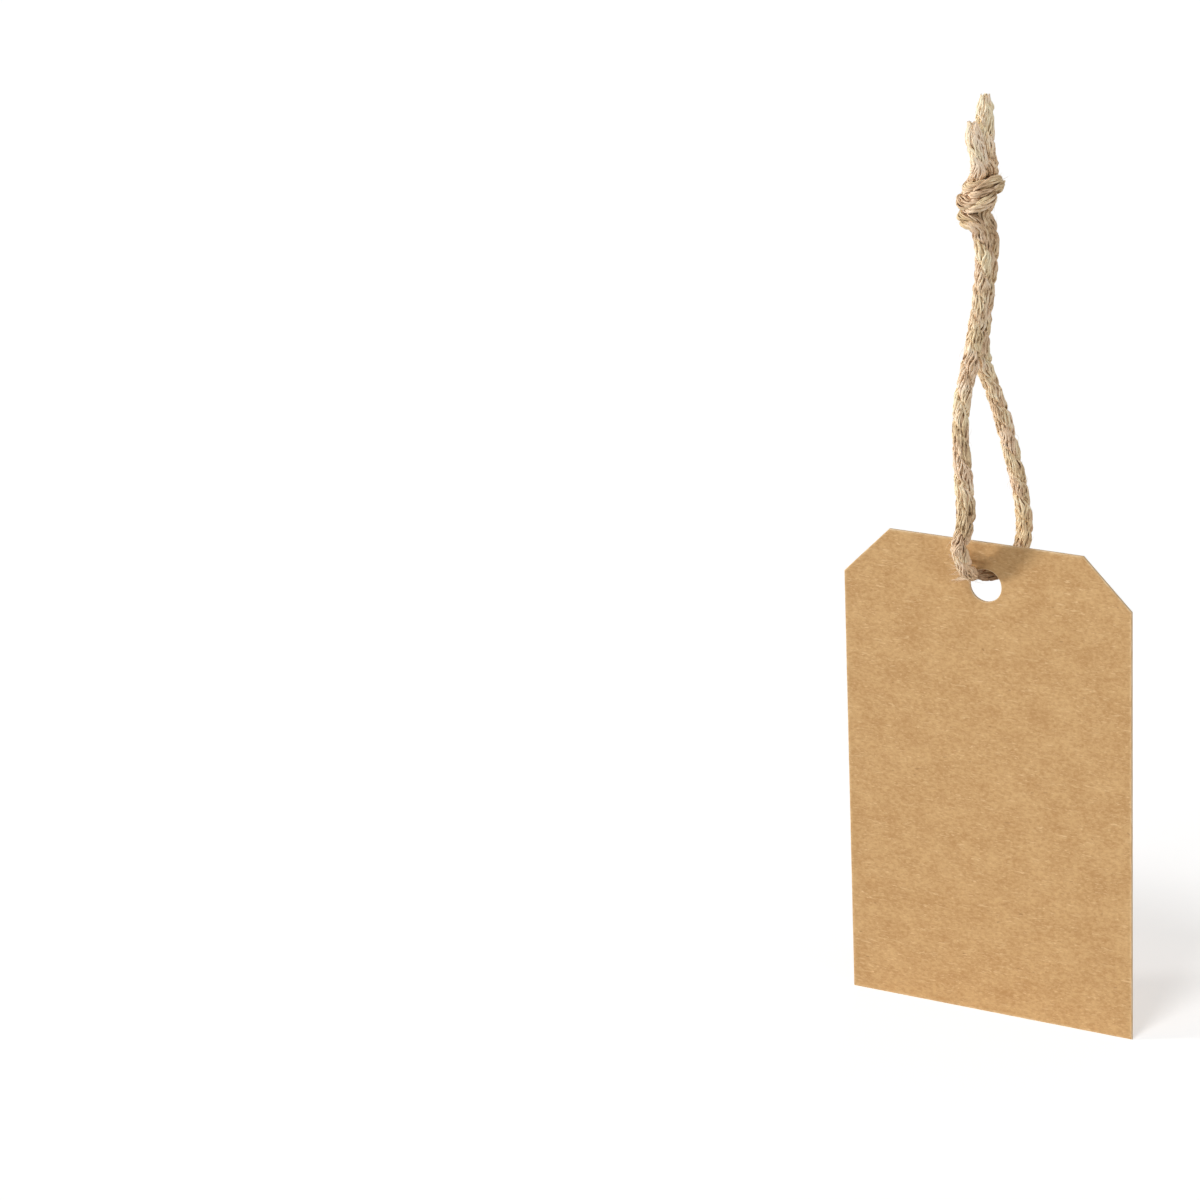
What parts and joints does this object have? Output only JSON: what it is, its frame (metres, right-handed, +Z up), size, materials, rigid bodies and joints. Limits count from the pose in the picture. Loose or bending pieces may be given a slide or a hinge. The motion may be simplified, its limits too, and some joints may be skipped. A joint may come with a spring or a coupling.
{
  "type": "gift tag",
  "caption": "Flat kraft card tag with clipped top corners and a punched hole, hung on a doubled jute twine loop tied with an overhand knot.",
  "frame": {"origin": "just under the knot, where the two strands leave it, on the plumb line through the middle of the card's hole", "axes": "+X across the card, +Y through the card from its front face to its back, +Z up along the card and the twine"},
  "size_m": [0.055, 0.0152, 0.1695],
  "materials": {
    "kraft_card": "uncoated brown kraft board, matt, with fine fibres and flecks",
    "jute_twine": "natural jute, matt, loosely plied with a few stray fibres"
  },
  "bodies": {
    "knot": {"knot": "jute_twine", "tail_long": "jute_twine", "tail_short": "jute_twine"},
    "pair": {"strand_front": "jute_twine", "strand_back": "jute_twine"},
    "loop": {"leg_front": "jute_twine", "leg_back": "jute_twine", "bight": "jute_twine"},
    "card": {"card": "kraft_card"}
  },
  "joints": [
    {"name": "cord_sway", "type": "hinge", "parent": "knot", "child": "pair", "pos_m": [0.0007, 0, 0], "axis": [0, 1, 0], "range_deg": [-45, 45]},
    {"name": "loop_twist", "type": "hinge", "parent": "pair", "child": "loop", "pos_m": [0, 0, -0.014], "axis": [0, 0, 1], "range_deg": [-180, 180], "stiffness_Nm_per_rad": 0.00004},
    {"name": "card_swing", "type": "hinge", "parent": "loop", "child": "card", "pos_m": [0, 0, -0.064], "axis": [0, 1, 0], "range_deg": [-120, 120]}
  ]
}
